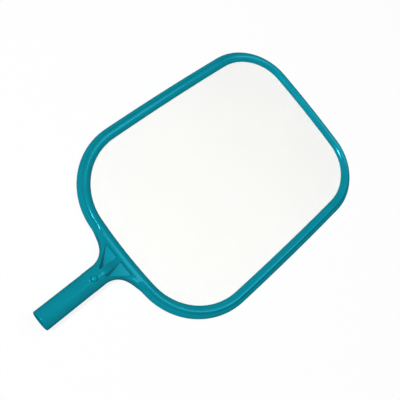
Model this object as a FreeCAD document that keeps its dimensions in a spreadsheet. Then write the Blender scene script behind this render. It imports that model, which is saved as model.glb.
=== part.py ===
import FreeCAD, Part
import math
import os
import Sketcher

# Leaf skimmer: a rounded hoop that holds a flat net, on a hollow handle stub with two snap buttons.
# The hoop lies in the XY plane, the handle points along -Y, and Z = 0 is the hoop's underside.

VECTOR = FreeCAD.Vector
UP = VECTOR(0, 0, 1)

os.makedirs("parts", exist_ok=True)
doc = FreeCAD.newDocument("leaf_skimmer")

# Driving dimensions in millimetres. A section's own X runs outwards from the opening's edge.
SIZES = {
    "overall_length": (528, "from the hoop's far edge to the handle's mouth"),
    "opening_length": (370, "the net opening along the handle's axis"),
    "opening_width": (270, "the net opening across its widest place"),
    "widest_place": (-16, "Y of the widest place"),
    "far_side_radius": (1740, "crown of the far side"),
    "near_side_radius": (742, "crown of the side by the handle"),
    "long_side_radius": (4740, "crown of the two long sides"),
    "far_corner": (67, "corner radius at the far side"),
    "near_corner": (86, "corner radius at the handle's side"),
    "rim_width": (18, "the hoop's width seen from above"),
    "rim_low": (0.6, "underside of the hoop's outer wall"),
    "crest_height": (16, "the highest line round the hoop"),
    "crest_inner": (8.2, "where the top face ends and the crest rolls over"),
    "crest_outer": (10.4, "where the step outside the crest starts"),
    "crest_drop": (1.1, "how far the crest has rolled down there"),
    "crest_round": (2.75, "radius of the crest"),
    "step_foot": (11.4, "foot of the step"),
    "step_height": (12.9, "height of the step's foot"),
    "step_round": (1, "hollow at the step's foot"),
    "band_start": (12.3, "where the outer band starts"),
    "band_height": (12.5, "height of the band's start"),
    "band_round": (6.05, "radius of the outer band"),
    "band_foot": (6.5, "height where the band turns into the outer wall"),
    "wall_draft": (0.8, "how far the outer wall leans in towards its foot"),
    "edge_round": (1, "rounding under the outer wall"),
    "lip_low": (10.2, "underside of the inner lip, on the net"),
    "lip_turn": (10.8, "where the inner wall starts to round"),
    "top_round": (9, "radius of the domed face between the opening and the crest"),
    "lip_wall": (2.4, "thickness of the inner lip"),
    "outer_wall": (2.4, "thickness of the outer wall"),
    "channel_side": (8, "height of the channel beside the outer wall"),
    "channel_bevel": (13.4, "where the channel's ceiling levels out"),
    "channel_low": (10.6, "the ceiling over the screws"),
    "channel_step": (10.5, "where the ceiling steps up to the crest"),
    "channel_roof": (13.4, "the ceiling under the crest"),
    "channel_roof_out": (9.2, "outer end of that ceiling"),
    "channel_roof_in": (6.6, "inner end of that ceiling"),
    "channel_lip": (11.8, "the ceiling beside the inner lip"),
    "ring_gap": (0.3, "play between the back ring and the hoop"),
    "ring_floor": (2.2, "thickness of the back ring's floor"),
    "ring_wall": (2.1, "thickness of the back ring's inner wall"),
    "ring_edge": (0.5, "chamfer of the back ring's lower edges"),
    "rib_in": (7.2, "inner face of the back ring's pressing rib"),
    "rib_out": (9.4, "outer face of the pressing rib"),
    "rib_height": (7.3, "height of the pressing rib"),
    "net_low": (9.4, "underside of the net"),
    "net_tuck": (6.4, "how far the net reaches into the channel"),
    "gap_columns": (14, "the net's gaps across the opening"),
    "gap_lines": (20, "the net's gaps along the opening"),
    "gap_pitch": (17.9, "spacing of the net's gaps"),
    "gap_side": (13.2, "side of a gap"),
    "gap_margin": (3, "least solid net between a gap and the hoop"),
    "hem_start": (4.6, "inner edge of the hem"),
    "hem_tape": (0.6, "thickness of the hem's tape"),
    "hem_round": (2.1, "outer radius of the hem round its cord"),
    "cord_place": (8.2, "the cord's distance from the opening's edge"),
    "cord_height": (9.5, "height of the cord's middle"),
    "cord_radius": (1.35, "radius of the cord"),
    "cord_play": (0.05, "play of the cord in the hem"),
    "screw_place": (12.8, "the screws' distance from the opening's edge"),
    "boss_radius": (2.1, "radius of a screw boss"),
    "boss_low": (2.4, "lower end of a screw boss"),
    "boss_top": (11.2, "upper end of a screw boss, inside the hoop's wall"),
    "screw_shank": (1.1, "radius of a screw's shank"),
    "screw_pilot": (1.15, "radius of the hole that a screw holds in"),
    "pilot_top": (9.6, "upper end of that hole"),
    "screw_clear": (1.4, "radius of a screw's hole in the back ring"),
    "screw_sink": (2.2, "radius of the recess for a screw's head"),
    "sink_depth": (1.3, "depth of that recess"),
    "screw_head": (2, "radius of a screw's head"),
    "screw_length": (8.6, "length of a screw with its head"),
    "cross_width": (0.6, "width of the cross in a screw's head"),
    "cross_depth": (0.7, "depth of the cross"),
    "handle_height": (18.4, "Z of the handle's axis"),
    "handle_radius": (14.25, "outside radius of the handle stub"),
    "bore_radius": (11.5, "inside radius of the handle stub"),
    "bore_end": (174, "distance of the bore's blind end from the origin"),
    "collar_radius": (14.5, "radius of the collar that takes up the pole's play"),
    "collar_start": (190, "distance of the collar's outer end from the origin"),
    "neck_end": (171, "distance of the neck's outer end from the origin"),
    "mouth_round": (1.4, "lead-in at the handle's mouth"),
    "button_place": (184, "distance of the buttons from the origin"),
    "hole_radius": (4.1, "radius of a button hole"),
    "button_radius": (3.8, "radius of a button"),
    "button_proud": (3.4, "how far a button stands out of the collar"),
    "button_dome": (1.3, "height of a button's domed end"),
    "flange_radius": (5, "radius of a button's flange"),
    "flange_high": (10.1, "the flange's outer face, from the handle's axis"),
    "flange_low": (9.2, "the flange's inner face, from the handle's axis"),
    "strip_width": (9, "width of the spring strip"),
    "strip_gauge": (0.8, "thickness of the spring strip"),
    "bend_place": (244, "distance of the spring's bend from the origin"),
    "bend_radius": (3.2, "outer radius of the spring's bend"),
    "arm_knee": (194, "where an arm turns parallel to the handle"),
    "arm_tip": (178, "distance of an arm's tip from the origin"),
    "floor_height": (15, "floor of the yoke's two pockets"),
    "pocket_front": (140.5, "front edge of a pocket, as the centre of its corner roundings"),
    "pocket_apex": (168.2, "tip of a pocket, as the centre of its rounding"),
    "pocket_wide": (24.2, "outer front corner of a pocket"),
    "pocket_inner": (5.2, "inner front corner of a pocket"),
    "apex_place": (6.4, "a pocket's tip, from the middle"),
    "pocket_round": (1.5, "rounding of a pocket's corners"),
    "recess_front": (143.5, "front edge of a recess under the yoke"),
    "recess_apex": (156, "tip of a recess under the yoke"),
    "recess_wide": (16.5, "outer front corner of a recess"),
    "recess_top": (10.5, "ceiling of the recesses under the yoke"),
}

sheet = doc.addObject("Spreadsheet::Sheet", "Sizes")
for row, (alias, (number, meaning)) in enumerate(SIZES.items(), start=1):
    sheet.set(f"A{row}", alias.replace("_", " "))
    sheet.set(f"B{row}", str(number))
    sheet.set(f"C{row}", meaning)
    sheet.setAlias(f"B{row}", alias)
doc.recompute()


class Size:
    """A length that knows its value now and its formula on the sheet."""

    def __init__(self, value, text):
        self.value = value
        self.text = text

    def join(self, other, sign, value):
        return Size(value, f"({self.text} {sign} {size(other).text})")

    def __add__(self, other):
        return self.join(other, "+", self.value + size(other).value)

    def __sub__(self, other):
        return self.join(other, "-", self.value - size(other).value)

    def __mul__(self, other):
        return self.join(other, "*", self.value * size(other).value)

    def __truediv__(self, other):
        return self.join(other, "/", self.value / size(other).value)

    def __neg__(self):
        return Size(-self.value, f"(-1 * {self.text})")


def size(thing):
    """A sheet alias, a number or a Size, as a Size."""
    if isinstance(thing, Size):
        return thing
    if isinstance(thing, str):
        return Size(float(getattr(sheet, thing)), f"Sizes.{thing}")
    return Size(float(thing), repr(float(thing)))


def new_body(label):
    body = doc.addObject("PartDesign::Body", label)
    body.Label = label
    return body


def new_sketch(body, name, role, height=0):
    """A sketch on one of the body's own origin planes, moved along that plane's normal."""
    sketch = body.newObject("Sketcher::SketchObject", name)
    plane = next(feature for feature in body.Origin.OriginFeatures if feature.Role == role)
    sketch.AttachmentSupport = [(plane, "")]
    sketch.MapMode = "FlatFace"
    sketch.setExpression(".AttachmentOffset.Base.z", size(height).text)
    return sketch


def bind(sketch, kind, *where_and_size):
    """Adds a dimension whose last argument is a Size, tied to the sheet."""
    *where, length = where_and_size
    index = sketch.addConstraint(Sketcher.Constraint(kind, *where, length.value))
    sketch.setExpression(f"Constraints[{index}]", length.text)


def pin(sketch, edge, end, x, y):
    bind(sketch, "DistanceX", -1, 1, edge, end, size(x))
    bind(sketch, "DistanceY", -1, 1, edge, end, size(y))


def circle(sketch, x, y, radius):
    x, y, radius = size(x), size(y), size(radius)
    edge = sketch.addGeometry(Part.Circle(VECTOR(x.value, y.value, 0), UP, radius.value))
    pin(sketch, edge, 3, x, y)
    bind(sketch, "Radius", edge, radius)


def arc_through(start, end, radius):
    """The short arc from start to end; a positive radius bulges to the right of the way there."""
    chord = end - start
    middle = (start + end) / 2
    left = VECTOR(-chord.y, chord.x, 0).normalize()
    rise = math.sqrt(max(radius * radius - (chord.Length / 2) ** 2, 0))
    centre = middle + left * math.copysign(rise, radius)
    around = Part.Circle(centre, UP, abs(radius))
    first, second = around.parameter(start), around.parameter(end)
    if radius < 0:
        first, second = second, first
    if second <= first:
        second += 2 * math.pi
    return Part.ArcOfCircle(around, first, second)


def outline(sketch, corners):
    """A closed outline of (x, y) corners; (x, y, radius) has an arc to the next corner.

    A positive radius bulges to the right of the way there, and a negative one to the left.
    """
    count = len(corners)
    places = [VECTOR(size(x).value, size(y).value, 0) for x, y, *_ in corners]
    ends = []
    for index, (x, y, *bulge) in enumerate(corners):
        start, end = places[index], places[(index + 1) % count]
        if bulge:
            curve = arc_through(start, end, size(bulge[0]).value)
            turned = size(bulge[0]).value < 0
        else:
            curve = Part.LineSegment(start, end)
            turned = False
        edge = sketch.addGeometry(curve)
        ends.append((2, 1) if turned else (1, 2))
        pin(sketch, edge, ends[-1][0], x, y)
        if bulge:
            radius = size(bulge[0])
            bind(sketch, "Radius", edge, -radius if turned else radius)
    for edge in range(count):
        after = (edge + 1) % count
        sketch.addConstraint(Sketcher.Constraint("Coincident", edge, ends[edge][1], after, ends[after][0]))


def hull(sketch, circles):
    """The tight outline round circles of (x, y, radius), given anticlockwise."""
    circles = [tuple(size(part) for part in one) for one in circles]
    count = len(circles)
    tangents = []
    for index in range(count):
        x, y, radius = (part.value for part in circles[index])
        next_x, next_y, next_radius = (part.value for part in circles[(index + 1) % count])
        reach = math.hypot(next_x - x, next_y - y)
        normal = math.atan2(next_y - y, next_x - x) - math.acos((radius - next_radius) / reach)
        tangents.append(normal)
    for index in range(count):
        x, y, radius = (part.value for part in circles[index])
        first, second = tangents[index - 1], tangents[index]
        if second <= first:
            second += 2 * math.pi
        around = Part.Circle(VECTOR(x, y, 0), UP, radius)
        sketch.addGeometry(Part.ArcOfCircle(around, first, second))
    for index in range(count):
        start = sketch.Geometry[index].EndPoint
        end = sketch.Geometry[(index + 1) % count].StartPoint
        sketch.addGeometry(Part.LineSegment(start, end))
    for index, (x, y, radius) in enumerate(circles):
        line, after = count + index, (index + 1) % count
        sketch.addConstraint(Sketcher.Constraint("Tangent", index, 2, line, 1))
        sketch.addConstraint(Sketcher.Constraint("Tangent", line, 2, after, 1))
        pin(sketch, index, 3, x, y)
        bind(sketch, "Radius", index, radius)


# The opening's edge is ten arcs that run into each other: two sides, four corners and two halved ends.
FAR_EDGE = size("overall_length") / 2 - "rim_width"
NEAR_EDGE = FAR_EDGE - "opening_length"
SIDE_CENTRE = size("opening_width") / 2 - "long_side_radius"


def crossing(one, one_reach, other, other_reach):
    """Where two circles meet, on the side with the larger X."""
    way = other - one
    along = (one_reach**2 - other_reach**2 + way.Length**2) / (2 * way.Length)
    off = math.sqrt(one_reach**2 - along**2)
    way = way.normalize()
    across = VECTOR(way.y, -way.x, 0)
    meets = [one + way * along + across * off, one + way * along - across * off]
    return max(meets, key=lambda place: place.x)


def edge_arcs(offset=0):
    """The arcs on the right of the axis, from the far end to the near end: centre, radius, start, end."""
    far_radius, near_radius = size("far_side_radius").value, size("near_side_radius").value
    side_radius = size("long_side_radius").value
    far_corner, near_corner = size("far_corner").value, size("near_corner").value
    far = VECTOR(0, FAR_EDGE.value - far_radius, 0)
    near = VECTOR(0, NEAR_EDGE.value + near_radius, 0)
    side = VECTOR(SIDE_CENTRE.value, size("widest_place").value, 0)
    far_turn = crossing(far, far_radius - far_corner, side, side_radius - far_corner)
    near_turn = crossing(near, near_radius - near_corner, side, side_radius - near_corner)
    circles = [
        (far, far_radius + offset),
        (far_turn, far_corner + offset),
        (side, side_radius + offset),
        (near_turn, near_corner + offset),
        (near, near_radius + offset),
    ]
    touches = [
        VECTOR(0, FAR_EDGE.value + offset, 0),
        far + (far_turn - far).normalize() * (far_radius + offset),
        side + (far_turn - side).normalize() * (side_radius + offset),
        side + (near_turn - side).normalize() * (side_radius + offset),
        near + (near_turn - near).normalize() * (near_radius + offset),
        VECTOR(0, NEAR_EDGE.value - offset, 0),
    ]
    return [(centre, radius, touches[i], touches[i + 1]) for i, (centre, radius) in enumerate(circles)]


def mirrored(place):
    return VECTOR(-place.x, place.y, place.z)


def hoop_path(body, name):
    """The opening's edge as a closed path at Z = 0, every size tied to the sheet."""
    sketch = new_sketch(body, name, "XY_Plane")
    radii = ["far_side_radius", "far_corner", "long_side_radius", "near_corner", "near_side_radius"]
    right = []
    for centre, radius, start, end in edge_arcs():
        around = Part.Circle(centre, UP, radius)
        arc = Part.ArcOfCircle(around, around.parameter(end), around.parameter(start))
        right.append(sketch.addGeometry(arc))
    left = []
    for centre, radius, start, end in edge_arcs():
        around = Part.Circle(mirrored(centre), UP, radius)
        first, second = around.parameter(mirrored(start)), around.parameter(mirrored(end))
        if second < first:
            second += 2 * math.pi
        left.append(sketch.addGeometry(Part.ArcOfCircle(around, first, second)))
    far, corner_far, side, corner_near, near = right
    for one, other in zip(right, right[1:]):
        sketch.addConstraint(Sketcher.Constraint("Tangent", one, 1, other, 2))
    for one, other in zip(left, left[1:]):
        sketch.addConstraint(Sketcher.Constraint("Tangent", one, 2, other, 1))
    pin(sketch, far, 2, 0, FAR_EDGE)
    pin(sketch, near, 1, 0, NEAR_EDGE)
    pin(sketch, side, 3, SIDE_CENTRE, "widest_place")
    sketch.addConstraint(Sketcher.Constraint("PointOnObject", far, 3, -2))
    sketch.addConstraint(Sketcher.Constraint("PointOnObject", near, 3, -2))
    for edge, alias in zip(right, radii):
        bind(sketch, "Radius", edge, size(alias))
    sketch.addConstraint(Sketcher.Constraint("Coincident", left[0], 1, far, 2))
    sketch.addConstraint(Sketcher.Constraint("Coincident", left[4], 2, near, 1))
    sketch.addConstraint(Sketcher.Constraint("PointOnObject", left[0], 3, -2))
    sketch.addConstraint(Sketcher.Constraint("PointOnObject", left[4], 3, -2))
    sketch.addConstraint(Sketcher.Constraint("Symmetric", left[2], 3, side, 3, -2))
    for one, other in zip(left, right):
        sketch.addConstraint(Sketcher.Constraint("Equal", one, other))
    return sketch


def round_the_hoop(body, name, shape_section, kind="PartDesign::AdditivePipe"):
    """Sweeps a section round the opening's edge; the section is drawn at the far end."""
    section = new_sketch(body, f"{name}_section", "YZ_Plane")
    shape_section(section)
    path = hoop_path(body, f"{name}_path")
    sweep = body.newObject(kind, name)
    sweep.Profile = section
    sweep.Spine = (path, [])
    doc.recompute()
    return sweep


def out(distance):
    """A section's X at that distance outwards from the opening's edge."""
    return FAR_EDGE + distance


def extrude(body, name, sketch, kind, length, upwards):
    feature = body.newObject(kind, name)
    feature.Profile = sketch
    feature.setExpression("Length", size(length).text)
    feature.Reversed = upwards != (kind == "PartDesign::Pad")
    doc.recompute()
    return feature


def expect(body, feature, grows):
    """A cut or an addition that changes nothing is a fault that shows no error."""
    before = feature.BaseFeature.Shape.Volume
    after = feature.Shape.Volume
    if (after - before > 1) != grows:
        raise RuntimeError(f"{body.Label}: {feature.Label} changed the volume by {after - before:.2f}")


def screw_places():
    """Where the screws stand: six on each side of the axis, over the middle of the channel's outer half."""
    arcs = edge_arcs(size("screw_place").value)
    shares = [(0, 0.7), (1, 0.5), (2, 0.3), (2, 0.72), (3, 0.5), (4, 0.45)]
    places = []
    for index, share in shares:
        centre, radius, start, end = arcs[index]
        first = math.atan2(start.y - centre.y, start.x - centre.x)
        second = math.atan2(end.y - centre.y, end.x - centre.x)
        angle = first + share * (second - first)
        place = centre + VECTOR(math.cos(angle), math.sin(angle), 0) * radius
        places += [place, mirrored(place)]
    return places


def screw_circles(sketch, radius):
    for place in screw_places():
        edge = sketch.addGeometry(Part.Circle(place, UP, size(radius).value))
        sketch.addConstraint(Sketcher.Constraint("Block", edge))


# Main frame: the hoop's top, the yoke and the handle stub, one moulding.
def rim_section(sketch):
    wall_foot = out("rim_width") - "wall_draft"
    outline(
        sketch,
        [
            (out(0), "rim_low"),
            (wall_foot - "edge_round", "rim_low", "edge_round"),
            (wall_foot, size("rim_low") + "edge_round"),
            (out("rim_width"), "band_foot", "band_round"),
            (out("band_start"), "band_height", -size("step_round")),
            (out("step_foot"), "step_height"),
            (out("crest_outer"), size("crest_height") - "crest_drop", "crest_round"),
            (out("crest_inner"), "crest_height", "top_round"),
            (out(0), "lip_turn"),
        ],
    )


def channel_section(sketch):
    inside = out("rim_width") - "outer_wall"
    outline(
        sketch,
        [
            (out(-1), -1),
            (inside, -1),
            (inside, "channel_side"),
            (out("channel_bevel"), "channel_low"),
            (out("channel_step"), "channel_low"),
            (out("channel_roof_out"), "channel_roof"),
            (out("channel_roof_in"), "channel_roof"),
            (out("lip_wall"), "channel_lip"),
            (out("lip_wall"), "lip_low"),
            (out(-1), "lip_low"),
        ],
    )


# Sections of the yoke across the handle: distance from the origin, half width, underside, top and two roundings.
YOKE_SECTIONS = [
    (125.5, 92, 1, 12, 5, 1),
    (129.5, 82, 1, 14, 5, 1),
    (134, 69, 1, 16.1, 5, 1),
    (138, 54, 1, 16.9, 5, 1),
    (142, 38.5, 1.1, 18, 5.2, 1.2),
    (147, 27.4, 1.4, 20.4, 5.6, 1.8),
    (152.5, 21.4, 2, 23.7, 6.6, 3.4),
    (159.5, 17.3, 2.8, 28.2, 9.6, 7.4),
    (166, 15.4, 3.2, 31.8, 12.8, 11.6),
    (172, 14.9, 3.5, 33.3, 14.4, 14.4),
]


def yoke_section(sketch, half_width, low, high, upper, lower):
    side = half_width - upper
    foot = half_width - lower
    hull(
        sketch,
        [
            (-foot, low + lower, lower),
            (foot, low + lower, lower),
            (side, high - upper, upper),
            (-side, high - upper, upper),
        ],
    )


def pocket_outline(sketch, side, front, apex, wide):
    """A rounded triangle beside the middle rib, its tip towards the handle."""
    corners = [
        (size("pocket_inner") * side, -size(front), "pocket_round"),
        (size("apex_place") * side, -size(apex), "pocket_round"),
        (size(wide) * side, -size(front), "pocket_round"),
    ]
    hull(sketch, corners if side > 0 else corners[::-1])


def make_main_frame():
    body = new_body("main_frame")
    round_the_hoop(body, "rim", rim_section)

    loft = body.newObject("PartDesign::AdditiveLoft", "yoke")
    sections = []
    for number, (place, *shape) in enumerate(YOKE_SECTIONS):
        sketch = new_sketch(body, f"yoke_section_{number}", "XZ_Plane", place)
        yoke_section(sketch, *shape)
        sections.append(sketch)
    doc.recompute()
    loft.Profile = sections[0]
    loft.Sections = sections[1:]
    doc.recompute()
    expect(body, loft, True)

    stub = new_sketch(body, "stub_section", "YZ_Plane")
    axis = size("handle_height")
    mouth = -size("overall_length") / 2
    outer = axis + "handle_radius"
    outline(
        stub,
        [
            (mouth, axis),
            (-size("neck_end"), axis),
            (-size("neck_end"), axis + "collar_radius"),
            (-size("collar_start"), axis + "collar_radius"),
            (-size("collar_start"), outer),
            (mouth + "mouth_round", outer, "mouth_round"),
            (mouth, outer - "mouth_round"),
        ],
    )
    turned = body.newObject("PartDesign::Revolution", "stub")
    turned.Profile = stub
    line = stub.addGeometry(Part.LineSegment(VECTOR(mouth.value, axis.value, 0), VECTOR(0, axis.value, 0)), True)
    pin(stub, line, 1, mouth, axis)
    pin(stub, line, 2, 0, axis)
    turned.ReferenceAxis = (stub, ["Axis0"])
    doc.recompute()
    expect(body, turned, True)

    channel = round_the_hoop(body, "channel", channel_section, "PartDesign::SubtractivePipe")
    expect(body, channel, False)

    for side in (1, -1):
        name = "right" if side > 0 else "left"
        top = new_sketch(body, f"{name}_pocket_outline", "XY_Plane", "floor_height")
        pocket_outline(top, side, "pocket_front", "pocket_apex", "pocket_wide")
        expect(body, extrude(body, f"{name}_pocket", top, "PartDesign::Pocket", "opening_width", True), False)
        under = new_sketch(body, f"{name}_recess_outline", "XY_Plane", "recess_top")
        pocket_outline(under, side, "recess_front", "recess_apex", "recess_wide")
        expect(body, extrude(body, f"{name}_recess", under, "PartDesign::Pocket", "opening_width", False), False)

    bore = new_sketch(body, "bore_outline", "XZ_Plane", "bore_end")
    circle(bore, 0, axis, "bore_radius")
    expect(body, extrude(body, "bore", bore, "PartDesign::Pocket", "opening_width", True), False)

    holes = new_sketch(body, "button_hole_outline", "XY_Plane")
    circle(holes, 0, -size("button_place"), "hole_radius")
    expect(body, extrude(body, "button_holes", holes, "PartDesign::Pocket", "opening_width", True), False)

    bosses = new_sketch(body, "boss_outline", "XY_Plane", "boss_low")
    screw_circles(bosses, "boss_radius")
    tall = size("boss_top") - "boss_low"
    expect(body, extrude(body, "screw_bosses", bosses, "PartDesign::Pad", tall, True), True)

    pilots = new_sketch(body, "pilot_outline", "XY_Plane", "boss_low")
    screw_circles(pilots, "screw_pilot")
    deep = size("pilot_top") - "boss_low"
    expect(body, extrude(body, "pilot_holes", pilots, "PartDesign::Pocket", deep, True), False)
    return body


# Back ring: clamps the net from below, with a flat underside to rest on.
def ring_section(sketch):
    inner = out("ring_gap")
    outer = out("rim_width") - "outer_wall" - "ring_gap"
    outline(
        sketch,
        [
            (inner + "ring_edge", 0),
            (outer - "ring_edge", 0),
            (outer, "ring_edge"),
            (outer, "ring_floor"),
            (out("rib_out"), "ring_floor"),
            (out("rib_out"), "rib_height"),
            (out("rib_in"), "rib_height"),
            (out("rib_in"), "ring_floor"),
            (inner + "ring_wall", "ring_floor"),
            (inner + "ring_wall", "net_low"),
            (inner, "net_low"),
            (inner, "ring_edge"),
        ],
    )


def make_back_ring():
    body = new_body("back_ring")
    round_the_hoop(body, "clamp_ring", ring_section)
    holes = new_sketch(body, "screw_hole_outline", "XY_Plane")
    screw_circles(holes, "screw_clear")
    expect(body, extrude(body, "screw_holes", holes, "PartDesign::Pocket", "ring_floor", True), False)
    sinks = new_sketch(body, "screw_sink_outline", "XY_Plane")
    screw_circles(sinks, "screw_sink")
    expect(body, extrude(body, "screw_sinks", sinks, "PartDesign::Pocket", "sink_depth", True), False)
    return body


# Hem and cord: the tape folded over the net's edge, and the piping in its fold.
def hem_section(sketch):
    net_top = size("lip_low")
    radius = size("hem_round")
    place = out("cord_place")
    outline(
        sketch,
        [
            (out("hem_start"), size("net_low") - "hem_tape"),
            (out("net_tuck"), size("net_low") - "hem_tape"),
            (place, size("cord_height") - radius, radius),
            (place + radius, "cord_height", radius),
            (place, size("cord_height") + radius),
            (out("net_tuck"), net_top + "hem_tape"),
            (out("hem_start"), net_top + "hem_tape"),
            (out("hem_start"), net_top),
            (out("net_tuck"), net_top),
            (out("net_tuck"), "net_low"),
            (out("hem_start"), "net_low"),
        ],
    )


def cord_space_section(sketch):
    circle(sketch, out("cord_place"), "cord_height", size("cord_radius") + "cord_play")


def cord_section(sketch):
    circle(sketch, out("cord_place"), "cord_height", "cord_radius")


def make_hem():
    body = new_body("net_hem")
    round_the_hoop(body, "hem", hem_section)
    space = round_the_hoop(body, "cord_space", cord_space_section, "PartDesign::SubtractivePipe")
    expect(body, space, False)
    return body


def make_cord():
    body = new_body("net_cord")
    round_the_hoop(body, "piping", cord_section)
    return body


# Net: one flat face with square gaps, as thick as the space between the lip and the back ring.
def edge_wire(offset):
    edges = []
    for centre, radius, start, end in edge_arcs(offset):
        for turn in (lambda place: place, mirrored):
            middle = (start + end) / 2 - centre
            halfway = centre + middle.normalize() * radius
            edges.append(Part.Arc(turn(start), turn(halfway), turn(end)).toShape())
    return Part.Wire(Part.__sortEdges__(edges))


def make_net():
    low, high = size("net_low").value, size("lip_low").value
    pitch, side = size("gap_pitch").value, size("gap_side").value
    inside = Part.Face(edge_wire(-size("gap_margin").value))
    middle = VECTOR(0, (FAR_EDGE.value + NEAR_EDGE.value) / 2, 0)
    holes = []
    columns, lines = int(size("gap_columns").value), int(size("gap_lines").value)
    for column in range(columns):
        for line in range(lines):
            centre = middle + VECTOR(column - (columns - 1) / 2, line - (lines - 1) / 2, 0) * pitch
            corners = [
                centre + VECTOR(x * side / 2, y * side / 2, 0)
                for x, y in ((-1, -1), (1, -1), (1, 1), (-1, 1))
            ]
            if all(inside.isInside(corner, 0.01, True) for corner in corners):
                holes.append(Part.makePolygon(corners + corners[:1]))
    if len(holes) > 300:
        raise RuntimeError(f"net_mesh: {len(holes)} gaps are more than 300")
    face = Part.Face([edge_wire(size("net_tuck").value)] + holes)
    net = doc.addObject("Part::Feature", "net_mesh")
    net.Label = "net_mesh"
    net.Shape = face.extrude(VECTOR(0, 0, high - low))
    net.Placement = FreeCAD.Placement(VECTOR(0, 0, low), FreeCAD.Rotation())
    print("net gaps", len(holes), "flat area", round(Part.Face(edge_wire(size("net_tuck").value)).Area))
    return net


# Screws: countersunk into the back ring, each with a cross in its head.
def make_screws():
    head, shank = size("screw_head").value, size("screw_shank").value
    depth, long = size("sink_depth").value, size("screw_length").value
    width, slot = size("cross_width").value, size("cross_depth").value
    gap = 0.1
    solids = []
    for place in screw_places():
        start = place + VECTOR(0, 0, gap)
        screw = Part.makeCylinder(head, depth - gap, start)
        screw = screw.fuse(Part.makeCylinder(shank, long, start))
        for angle in (0, 90):
            bar = Part.makeBox(2 * 0.7 * head, width, slot, VECTOR(-0.7 * head, -width / 2, 0))
            bar.rotate(VECTOR(), UP, angle)
            bar.translate(start)
            screw = screw.cut(bar)
        solids.append(screw.removeSplitter())
    screws = doc.addObject("Part::Feature", "ring_screws")
    screws.Label = "ring_screws"
    screws.Shape = Part.makeCompound(solids)
    return screws


# Spring clip: a strip bent into a V inside the handle, a button on the end of each arm.
def pad_across(body, name, sketch):
    pad = body.newObject("PartDesign::Pad", name)
    pad.Profile = sketch
    pad.setExpression("Length", size("strip_width").text)
    pad.Midplane = True
    doc.recompute()
    return pad


def make_clip_bend():
    body = new_body("clip_bend")
    sketch = new_sketch(body, "bend_outline", "YZ_Plane")
    axis, place = size("handle_height"), -size("bend_place")
    outer = size("bend_radius")
    inner = outer - "strip_gauge"
    outline(
        sketch,
        [
            (place, axis + outer, outer),
            (place - outer, axis, outer),
            (place, axis - outer),
            (place, axis - inner, -inner),
            (place - inner, axis, -inner),
            (place, axis + inner),
        ],
    )
    pad_across(body, "bend", sketch)
    return body


def make_clip_arm(label, side):
    body = new_body(label)
    sketch = new_sketch(body, "arm_outline", "YZ_Plane")
    axis, gauge = size("handle_height"), size("strip_gauge")
    root, knee, tip = -size("bend_place"), -size("arm_knee"), -size("arm_tip")
    near, far = size("bend_radius"), size("flange_low")
    points = [
        (root, near - gauge),
        (knee, far - gauge),
        (tip, far - gauge),
        (tip, far),
        (knee, far),
        (root, near),
    ]
    points = [(along, axis + height * side) for along, height in points]
    outline(sketch, points if side > 0 else points[::-1])
    pad_across(body, "arm", sketch)
    return body


def make_button(label, side):
    body = new_body(label)
    place = -size("button_place")
    sketch = new_sketch(body, "button_section", "YZ_Plane")
    axis = size("handle_height")
    end = size("collar_radius") + "button_proud"
    dome_radius = size("button_dome") / 2 + size("button_radius") * "button_radius" / (size("button_dome") * 2)
    points = [
        (place, "flange_low", None),
        (place + "flange_radius", "flange_low", None),
        (place + "flange_radius", "flange_high", None),
        (place + "button_radius", "flange_high", None),
        (place + "button_radius", end - "button_dome", dome_radius),
        (place, end, None),
    ]
    corners = []
    for along, height, bulge in points:
        corner = (along, axis + size(height) * side)
        corners.append(corner + ((bulge * side,) if bulge else ()))
    outline(sketch, corners)
    line = sketch.addGeometry(
        Part.LineSegment(VECTOR(place.value, axis.value, 0), VECTOR(place.value, axis.value + 1, 0)), True
    )
    pin(sketch, line, 1, place, axis)
    pin(sketch, line, 2, place, axis + 1)
    turned = body.newObject("PartDesign::Revolution", "button")
    turned.Profile = sketch
    turned.ReferenceAxis = (sketch, ["Axis0"])
    doc.recompute()
    return body


pieces = [
    make_main_frame(),
    make_back_ring(),
    make_hem(),
    make_cord(),
    make_net(),
    make_screws(),
    make_clip_bend(),
    make_clip_arm("upper_clip_arm", 1),
    make_clip_arm("lower_clip_arm", -1),
    make_button("upper_button", 1),
    make_button("lower_button", -1),
]

doc.recompute()
for thing in doc.Objects:
    if "Invalid" in thing.State or "Error" in thing.State:
        raise RuntimeError(f"{thing.Label} failed: {thing.State}")
for piece in pieces:
    if piece.Shape.isNull() or not piece.Shape.isValid():
        raise RuntimeError(f"{piece.Label} has no valid shape")
for piece in pieces:
    piece.Shape.exportStep(f"parts/{piece.Label}.step")
    box = piece.Shape.BoundBox
    print(piece.Label, round(piece.Shape.Volume), [round(v, 2) for v in (box.YMin, box.YMax, box.ZMin, box.ZMax)])
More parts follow.
